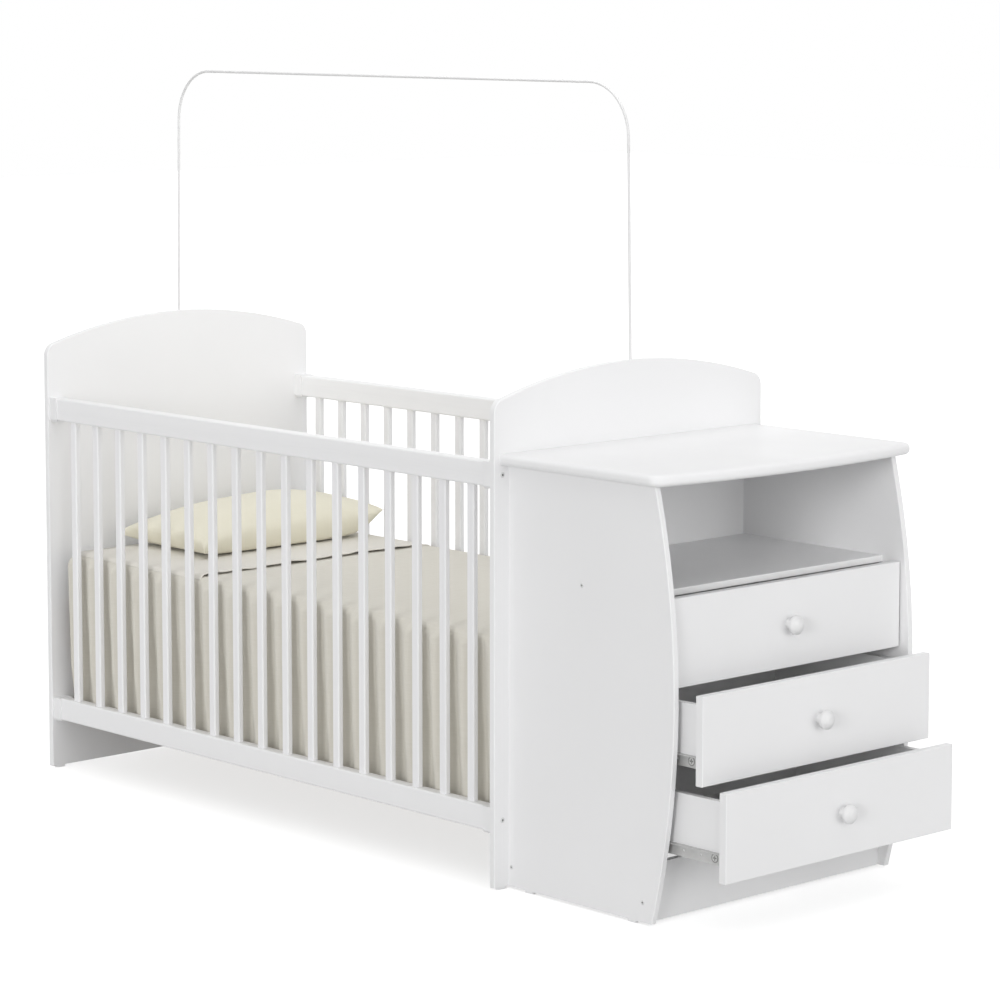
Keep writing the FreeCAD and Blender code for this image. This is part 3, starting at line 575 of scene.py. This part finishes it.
def pillowPlace(u, v, upper, middle, size, rest):
    # a point of the sewn form from -1..1 along the bed and across it, resting at height rest
    full = ((1 - abs(u) ** pillow["edgePower"]) * (1 - abs(v) ** pillow["edgePower"])) ** pillow["fullness"]
    seam = blend(pillow["seamHeights"], u, v) + pillow["backLift"] * max(v, 0.0) ** 4
    if upper:
        height = seam + (blend(pillow["crownHeights"], u, v) - seam) * full
        swell = pillow["swell"] * math.sin(math.pi * min(full / pillow["swellUntil"], 1.0))
    else:
        sunk = pillow["flatBelow"] * ((1 - u ** 4) * (1 - v ** 4)) ** pillow["belowPower"]
        height = seam * (1 - sunk / (1 + sunk ** 4) ** 0.25)
        swell = 0.0
    halfX = size.x / 2 * (1 - pillow["pullIn"] * (1 - v * v)) - pillow["seamIn"] * (1 - v ** 6)
    halfY = size.y / 2 * (1 - pillow["pullIn"] * (1 - u * u)) - pillow["seamIn"] * (1 - u ** 6)
    x = middle.x + u * halfX + swell * math.copysign(u ** pillow["swellPower"], u)
    y = middle.y + v * halfY + swell * math.copysign(v ** pillow["swellPower"], v)
    return Vector((x, y, rest + height))


def loosenCloth(piece):
    # a little pressure in slightly long cloth wrinkles its upper side
    start = [vert.co.copy() for vert in piece.data.vertices]
    facing = [smooth(vert.normal.z / pillow["facing"]) for vert in piece.data.vertices]
    cloth = addModifier(piece, "CLOTH")
    for name, value in pillow["cloth"].items():
        setattr(cloth.settings, name, value)
    cloth.settings.effector_weights.gravity = 0.0
    cloth.point_cache.frame_end = pillow["frames"]
    for step in range(1, pillow["frames"] + 1):
        scene.frame_set(step)
    applyModifiers(piece)
    scene.frame_set(1)
    for vert, old, share in zip(piece.data.vertices, start, facing):
        move = vert.co - old
        vert.co = old + move * (share * min(1.0, pillow["mostMove"] / max(move.length, 1e-9)))


def makePillow():
    low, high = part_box("pillow")
    middle, size = (low + high) / 2, high - low
    rest = spreadTop + foldedSheet["off"] + foldedSheet["thickness"] + spread["ripple"]
    bm = bmesh.new()
    bmesh.ops.create_grid(bm, x_segments=pillow["stepsAcross"], y_segments=pillow["stepsAlong"], size=1.0)
    under = bmesh.ops.duplicate(bm, geom=bm.faces[:])["geom"]
    underVerts = {vert for face in under if isinstance(face, bmesh.types.BMFace) for vert in face.verts}
    flat = {}
    for vert in bm.verts:
        u, v = vert.co.x, vert.co.y
        flat[vert] = (u * size.x / 2, v * size.y / 2)
        vert.co = pillowPlace(u, v, vert not in underVerts, middle, size, rest)
    setUv(bm, flat)
    bmesh.ops.remove_doubles(bm, verts=bm.verts, dist=pillow["mergeDistance"])
    bmesh.ops.recalc_face_normals(bm, faces=bm.faces)
    piece = keepPiece(bm, "pillowCase", pillowFinish, "frame", "pillow")
    loosenCloth(piece)
    addModifier(piece, "SUBSURF", levels=1, render_levels=1)
    return piece


pillowCase = makePillow()
print("pillow filled:", len(pillowCase.data.polygons), "faces")


# Mattress: foam block in a quilted cover with rounded edges
mattress = {
    "cornerRound": 0.03, "cornerSteps": 5, "edgeRound": 0.012, "edgeSteps": 4, "cuts": (44, 20, 4),
    "quilt": 0.12, "dimple": 0.0012, "plainRim": 0.05, "sideSlant": 0.3,
}


def makeMattress():
    low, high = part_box("mattress")
    size, middle = high - low, (low + high) / 2
    bm = bmesh.new()
    bmesh.ops.create_cube(bm, size=1.0)
    bmesh.ops.scale(bm, vec=size, verts=bm.verts)
    upright = [edge for edge in bm.edges if abs(edge.verts[0].co.z - edge.verts[1].co.z) > size.z / 2]
    bmesh.ops.bevel(bm, geom=upright, offset=mattress["cornerRound"], segments=mattress["cornerSteps"],
                    profile=0.5, affect="EDGES", material=-1)
    rim = [edge for edge in bm.edges
           if abs(edge.verts[0].co.z - edge.verts[1].co.z) < 1e-6 and edge.calc_face_angle(0) > 1.0]
    bmesh.ops.bevel(bm, geom=rim, offset=mattress["edgeRound"], segments=mattress["edgeSteps"],
                    profile=0.5, affect="EDGES", material=-1)
    for axis, steps in enumerate(mattress["cuts"]):
        for step in range(1, steps):
            place, normal = Vector(), Vector()
            place[axis] = (step / steps - 0.5) * size[axis]
            normal[axis] = 1.0
            whole = bm.verts[:] + bm.edges[:] + bm.faces[:]
            bmesh.ops.bisect_plane(bm, geom=whole, plane_co=place, plane_no=normal)
    wave = 2 * math.pi / mattress["quilt"]
    flat = {}
    for vert in bm.verts:
        x, y, z = vert.co
        quilt = math.cos(x * wave) * math.cos(y * wave)
        inside = smooth((size.x / 2 - abs(x)) / mattress["plainRim"])
        inside *= smooth((size.y / 2 - abs(y)) / mattress["plainRim"])
        if z > size.z / 2 - 1e-4:   # the top face
            vert.co.z -= mattress["dimple"] * (0.5 - 0.5 * quilt) * inside
        vert.co += middle
        flat[vert] = (vert.co.x + vert.co.z * mattress["sideSlant"], vert.co.y + vert.co.z)
    setUv(bm, flat)
    return keepPiece(bm, "mattressCover", tickingFinish, "frame", "mattress")


mattressCover = makeMattress()
print("mattress covered:", len(mattressCover.data.polygons), "faces")


# Fastener heads, turned and then given a driver recess
fasteners = {
    "boltRadius": 0.0052, "screwRadius": 0.0042, "runnerScrewRadius": 0.0082, "bracketScrewRadius": 0.0032,
    "sides": 24, "taper": 0.72, "proud": 0.0009, "runnerProud": 0.0005,
    "recessShare": 0.55, "recessWidthShare": 0.17, "squareShare": 0.7, "recessDepthShare": 0.8,
    "bracketPlate": 0.002, "bracketAlong": 0.62,   # bracket's thickness, and the screw's place along each leg
    "runnerWeb": 0.0012, "runnerBack": (0.016, 0.20), "runnerRise": 0.0112,   # two screws in a runner
}


def headFinish(name, base, shade, gloss, metallic=0.0):
    return finish(
        name, "lacquer",
        {"Base": base, "Shade": shade, "Cloud Scale": 160.0, "Peel Scale": 2400.0,
         "Gloss Low": gloss[0], "Gloss High": gloss[1]},
        bump=(0.1, 0.0001), shader={"Metallic": metallic})


# each pair is the head's own finish, then a dark one painted into the recess as shade
paintedFinishes = (
    headFinish("paintedScrew", (0.70, 0.70, 0.70), (0.66, 0.66, 0.66), (0.4, 0.52)),
    headFinish("screwRecessPaintedShade", (0.14, 0.14, 0.135), (0.10, 0.10, 0.10), (0.5, 0.62)))
zincFinishes = (
    headFinish("zincScrew", (0.62, 0.62, 0.61), (0.55, 0.55, 0.545), (0.34, 0.48), 0.25),
    headFinish("zincRecessPaintedShade", (0.27, 0.27, 0.265), (0.22, 0.22, 0.215), (0.5, 0.62)))


def joinedTo(verts):
    # these vertices and all that edges join to them
    island, grow = set(verts), list(verts)
    while grow:
        vert = grow.pop()
        for edge in vert.link_edges:
            other = edge.other_vert(vert)
            if other not in island:
                island.add(other)
                grow.append(other)
    return island


def cutTop(bm, top, limits, height):
    # divides the head's top face along both axes at the recess's limits
    for axis in (0, 1):
        for limit in limits:
            place, normal = Vector((0, 0, height)), Vector()
            place[axis] = limit
            normal[axis] = 1.0
            geom = top + once(e for f in top for e in f.edges) + once(v for f in top for v in f.verts)
            cut = bmesh.ops.bisect_plane(bm, geom=geom, plane_co=place, plane_no=normal)
            top = [item for item in cut["geom"] if isinstance(item, bmesh.types.BMFace)]
    return top


def addHead(bm, place, outward, radius, cross=True, proud=fasteners["proud"], rim=0):
    # low cone with a cross or square recess, its flat back on the face it holds
    # the recess takes the second finish, a dark one that is painted shade, and so does the rim where rim is 1
    verts = bmesh.ops.create_cone(bm, cap_ends=True, segments=fasteners["sides"], radius1=radius,
                                  radius2=radius * fasteners["taper"], depth=proud)["verts"]
    bmesh.ops.translate(bm, vec=(0, 0, proud / 2), verts=verts)
    faces = once(face for vert in verts for face in vert.link_faces)
    bmesh.ops.recalc_face_normals(bm, faces=faces)
    for face in faces:
        face.material_index = 0 if abs(face.normal.z) > 0.99 else rim
    reach = radius * fasteners["recessShare"]
    half = radius * fasteners["recessWidthShare"] if cross else reach * fasteners["squareShare"]
    limits = (-reach, -half, half, reach) if cross else (-half, half)
    top = cutTop(bm, [face for face in faces if face.normal.z > 0.99], limits, proud)

    def recessed(face):
        across, along = sorted(map(abs, face.calc_center_median().xy))
        return across < half and along < (reach if cross else half)

    sunk = [face for face in top if recessed(face)]
    dug = bmesh.ops.extrude_face_region(bm, geom=sunk)["geom"]
    bmesh.ops.translate(bm, vec=(0, 0, -proud * fasteners["recessDepthShare"]),
                        verts=[item for item in dug if isinstance(item, bmesh.types.BMVert)])
    bmesh.ops.delete(bm, geom=[face for face in sunk if face.is_valid], context="FACES_ONLY")
    for item in dug:
        if isinstance(item, bmesh.types.BMFace):
            # painted shade in the recess
            item.material_index = 1
    turn = outward.to_track_quat("Z", "Y").to_matrix().to_4x4()
    bmesh.ops.transform(bm, matrix=Matrix.Translation(place) @ turn, verts=list(joinedTo(verts)))


def solidBoxes(node):
    # lowest and highest corner of each loose solid of a CAD node, and its middle
    bm = bmesh.new()
    bm.from_mesh(nodes[node].data)
    bmesh.ops.remove_doubles(bm, verts=bm.verts, dist=1e-6)
    done, boxes = set(), []
    for vert in bm.verts:
        if vert not in done:
            island = joinedTo([vert])
            done |= island
            low, high = [Vector(map(pick, zip(*(v.co for v in island)))) for pick in (min, max)]
            boxes.append((low, high, (low + high) / 2))
    bm.free()
    return boxes


def keepHeads(bm, name, body, finishes):
    return keepPiece(bm, name, finishes[0], body, smoothed=False, second=finishes[1])


def makeBoltHeads():
    bm = bmesh.new()
    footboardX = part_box("footboard")[0].x
    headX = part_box("headboard")[1].x
    for low, high, middle in solidBoxes("rail_bolts"):
        atHead = middle.x < (headX + footboardX) / 2
        place = Vector((low.x if atHead else high.x, middle.y, middle.z))
        addHead(bm, place, Vector((-1 if atHead else 1, 0, 0)), fasteners["boltRadius"], cross=False)
    keepHeads(bm, "boltHeads", "frame", paintedFinishes)


def makeSideScrews():
    bm = bmesh.new()
    for low, high, middle in solidBoxes("side_screws"):
        near = low.y < 0
        place = Vector((middle.x, low.y if near else high.y, middle.z))
        addHead(bm, place, Vector((0, -1 if near else 1, 0)), fasteners["screwRadius"])
    keepHeads(bm, "sideScrewHeads", "frame", paintedFinishes)


def makeBracketScrews():
    bm = bmesh.new()
    plate, along, radius = (fasteners[key] for key in ("bracketPlate", "bracketAlong", "bracketScrewRadius"))
    for low, high, middle in solidBoxes("corner_brackets"):
        near = low.y < 0
        size = high - low
        onSide = Vector((low.x + size.x * along, low.y + plate if near else high.y - plate, middle.z))
        onBack = Vector((low.x + plate, low.y + size.y * (along if near else 1 - along), middle.z))
        addHead(bm, onSide, Vector((0, 1 if near else -1, 0)), radius)
        addHead(bm, onBack, Vector((1, 0, 0)), radius)
    keepHeads(bm, "bracketScrews", "frame", paintedFinishes)


def makeRunnerScrews(drawer):
    bm = bmesh.new()
    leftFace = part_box(f"drawer_{drawer}_left_side")[0].y
    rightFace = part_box(f"drawer_{drawer}_right_side")[1].y
    for low, high, middle in solidBoxes(f"drawer_{drawer}_runners"):
        out = -1 if middle.y < 0 else 1
        web = (leftFace if out < 0 else rightFace) + out * fasteners["runnerWeb"]
        for back in fasteners["runnerBack"]:
            # the rims of these heads take the painted shade as well
            addHead(bm, Vector((high.x - back, web, low.z + fasteners["runnerRise"])), Vector((0, out, 0)),
                    fasteners["runnerScrewRadius"], proud=fasteners["runnerProud"], rim=1)
    keepHeads(bm, f"runnerScrews{drawer}", f"drawer_{drawer}", zincFinishes)


makeBoltHeads()
makeSideScrews()
makeBracketScrews()
for number in drawerNumbers:
    makeRunnerScrews(number)
print("fastener heads set")


# Floor, light and camera
studio = {
    "floorSize": 40.0, "floorColour": (0.62, 0.62, 0.62, 1.0), "floorRoughness": 0.9, "floorSpecular": 0.1,
    "floorGlow": 0.67, "ambient": 0.39,
    "suns": (   # name, the way it shines, strength, width in degrees
        ("topSoft", (0.1, 0.1, -1), 0.86, 80),
        ("endSoft", (-1, 0.2, -0.18), 0.97, 50),
        ("keySoft", (-1, -0.35, -0.12), 0.34, 28),
        ("sideSoft", (-0.42, 1, -0.2), 0.96, 18),
        ("backSoft", (0.3, -1, -0.5), 0.25, 80)),
    "bedLight": 3.9, "bedLightSize": (0.9, 0.7),
    "bedLightPlace": (0.15, 0.0, 2.1), "bedLightAim": (-0.75, 0.0, 0.55),
}
view = {
    "place": (4.8251, -4.3934, 1.5726), "turn": 47.3928, "pitch": 6.33, "lens": 125.414, "sensor": 36.0,
    "shiftY": -0.12,
}


def seenDirectly(tree):
    # 1 for the camera, a reflection or a view through glass, 0 for light that falls on something
    path = addNode(tree, "ShaderNodeLightPath").outputs
    mirrored = mathNode(tree, "ADD", path["Is Glossy Ray"], path["Is Transmission Ray"])
    return mathNode(tree, "ADD", path["Is Camera Ray"], mirrored, clamp=True)


def makeFloor():
    bm = bmesh.new()
    bmesh.ops.create_grid(bm, x_segments=2, y_segments=2, size=studio["floorSize"] / 2)
    mesh = bpy.data.meshes.new("studioFloor")
    bm.to_mesh(mesh)
    bm.free()
    floor = bpy.data.objects.new("studioFloor", mesh)
    scene.collection.objects.link(floor)
    material = bpy.data.materials.new("studioFloor")
    material.use_nodes = True
    tree = material.node_tree
    surface = tree.nodes["Principled BSDF"]
    surface.inputs["Base Color"].default_value = studio["floorColour"]
    surface.inputs["Roughness"].default_value = studio["floorRoughness"]
    surface.inputs["Specular IOR Level"].default_value = studio["floorSpecular"]
    glow = addNode(tree, "ShaderNodeEmission")
    feed(tree, mathNode(tree, "MULTIPLY", seenDirectly(tree), studio["floorGlow"]), glow.inputs["Strength"])
    both = addNode(tree, "ShaderNodeAddShader")
    feed(tree, surface.outputs[0], both.inputs[0])
    feed(tree, glow.outputs[0], both.inputs[1])
    feed(tree, both.outputs[0], tree.nodes["Material Output"].inputs["Surface"])
    mesh.materials.append(material)


def makeWorld():
    # the light on the object is dimmer than the white that the camera sees
    world = bpy.data.worlds.new("studioWorld")
    scene.world = world
    world.use_nodes = True
    tree = world.node_tree
    dome = tree.nodes["Background"]
    backdrop = addNode(tree, "ShaderNodeBackground")
    for light, strength in ((dome, studio["ambient"]), (backdrop, 1.0)):
        light.inputs["Color"].default_value = (1, 1, 1, 1)
        light.inputs["Strength"].default_value = strength
    choose = addNode(tree, "ShaderNodeMixShader")
    feed(tree, seenDirectly(tree), choose.inputs["Fac"])
    feed(tree, dome.outputs[0], choose.inputs[1])
    feed(tree, backdrop.outputs[0], choose.inputs[2])
    feed(tree, choose.outputs[0], tree.nodes["World Output"].inputs["Surface"])


def aimed(direction):
    return Vector(direction).to_track_quat("-Z", "Y").to_euler()


def addSun(name, toward, strength, width):
    lamp = bpy.data.lights.new(name, "SUN")
    lamp.energy = strength
    lamp.angle = math.radians(width)
    sun = bpy.data.objects.new(name, lamp)
    sun.rotation_euler = aimed(toward)
    scene.collection.objects.link(sun)


def addBedLamp():
    # soft lamp over the bed, for the headboard's inner face and the bedding
    lamp = bpy.data.lights.new("bedSoft", "AREA")
    lamp.energy = studio["bedLight"]
    lamp.shape = "RECTANGLE"
    lamp.size, lamp.size_y = studio["bedLightSize"]
    panel = bpy.data.objects.new("bedSoft", lamp)
    panel.location = studio["bedLightPlace"]
    panel.rotation_euler = aimed(Vector(studio["bedLightAim"]) - Vector(studio["bedLightPlace"]))
    panel.visible_camera = False
    scene.collection.objects.link(panel)


def makeCamera():
    lens = bpy.data.cameras.new("photoView")
    lens.lens = view["lens"]
    lens.sensor_width = view["sensor"]
    lens.shift_y = view["shiftY"]
    camera = bpy.data.objects.new("photoView", lens)
    camera.location = view["place"]
    camera.rotation_euler = (math.radians(90 - view["pitch"]), 0, math.radians(view["turn"]))
    scene.collection.objects.link(camera)
    scene.camera = camera


makeFloor()
makeWorld()
for sunRow in studio["suns"]:
    addSun(*sunRow)
addBedLamp()
makeCamera()
scene.view_settings.view_transform = "Standard"
print("studio lit")
